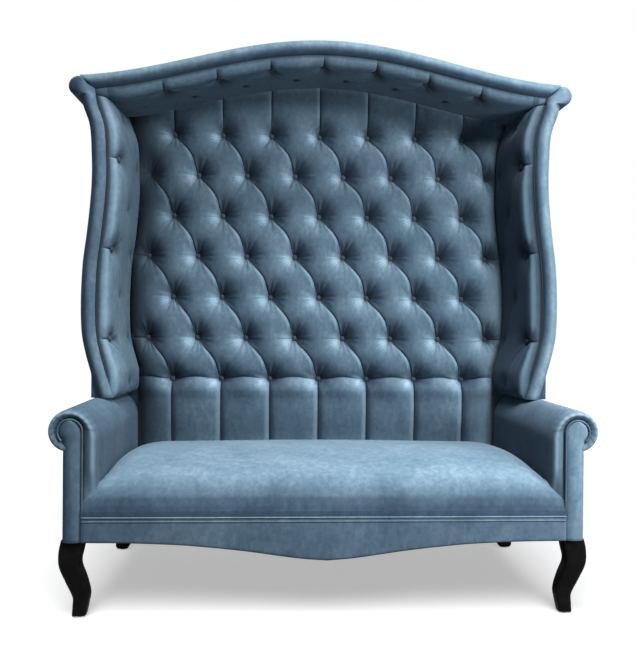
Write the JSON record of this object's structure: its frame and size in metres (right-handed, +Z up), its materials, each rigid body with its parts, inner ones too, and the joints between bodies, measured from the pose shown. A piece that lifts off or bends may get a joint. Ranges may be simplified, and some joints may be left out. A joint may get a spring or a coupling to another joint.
{
  "type": "chesterfield sofa",
  "caption": "High-backed button-tufted settee with rolled arms, side wings that curve in to a padded hood, a tight crowned seat and short cabriole front legs.",
  "frame": {"origin": "middle of the floor under the sofa's bounding box", "axes": "+Z up, -Y out of the front of the seat, +X to the right as seen from the front"},
  "size_m": [1.5826, 0.714, 1.69],
  "materials": {
    "velvet": "steel blue cotton velvet, short pile",
    "lacquered_wood": "black satin lacquer on carved beech",
    "frame_timber": "planed kiln-dried hardwood",
    "steel": "zinc-plated",
    "hessian": "woven jute and non-woven lining",
    "foam": "cut polyurethane foam"
  },
  "bodies": {
    "root": {"seat_pad": "velvet", "seat_border": "velvet", "seat_welt": "velvet", "arm_pad_left": "velvet", "arm_pad_right": "velvet", "arm_facing_left": "velvet", "arm_facing_right": "velvet", "arm_welt_left": "velvet", "arm_welt_right": "velvet", "arm_panel_left": "velvet", "arm_panel_right": "velvet", "back_pad": "velvet", "back_buttons": "velvet", "back_cover": "velvet", "wing_pad_left": "velvet", "wing_pad_right": "velvet", "wing_buttons_left": "velvet", "wing_buttons_right": "velvet", "wing_facing_left": "velvet", "wing_facing_right": "velvet", "wing_roll_left": "velvet", "wing_roll_right": "velvet", "wing_panel_left": "velvet", "wing_panel_right": "velvet", "hood_pad": "velvet", "hood_buttons": "velvet", "hood_facing": "velvet", "hood_panel": "velvet", "front_leg_left": "lacquered_wood", "front_leg_right": "lacquered_wood", "rear_leg_left": "lacquered_wood", "rear_leg_right": "lacquered_wood", "corner_blocks": "frame_timber", "front_rail": "frame_timber", "back_rail": "frame_timber", "side_rail_left": "frame_timber", "side_rail_right": "frame_timber", "seat_stretchers": "frame_timber", "arm_stump_left": "frame_timber", "arm_stump_right": "frame_timber", "arm_rail_left": "frame_timber", "arm_rail_right": "frame_timber", "back_post_left": "frame_timber", "back_post_right": "frame_timber", "back_mid_rail": "frame_timber", "back_top_rail": "frame_timber", "wing_frame_left": "frame_timber", "wing_frame_right": "frame_timber", "hood_front_rail": "frame_timber", "hood_back_rail": "frame_timber", "hood_slats": "frame_timber", "leg_glides": "steel", "leg_bolts": "steel", "seat_springs": "steel", "spring_clips": "steel", "frame_screws": "steel", "spring_hessian": "hessian", "back_webbing": "hessian", "dust_cover": "hessian", "seat_foam": "foam"}
  },
  "joints": []
}
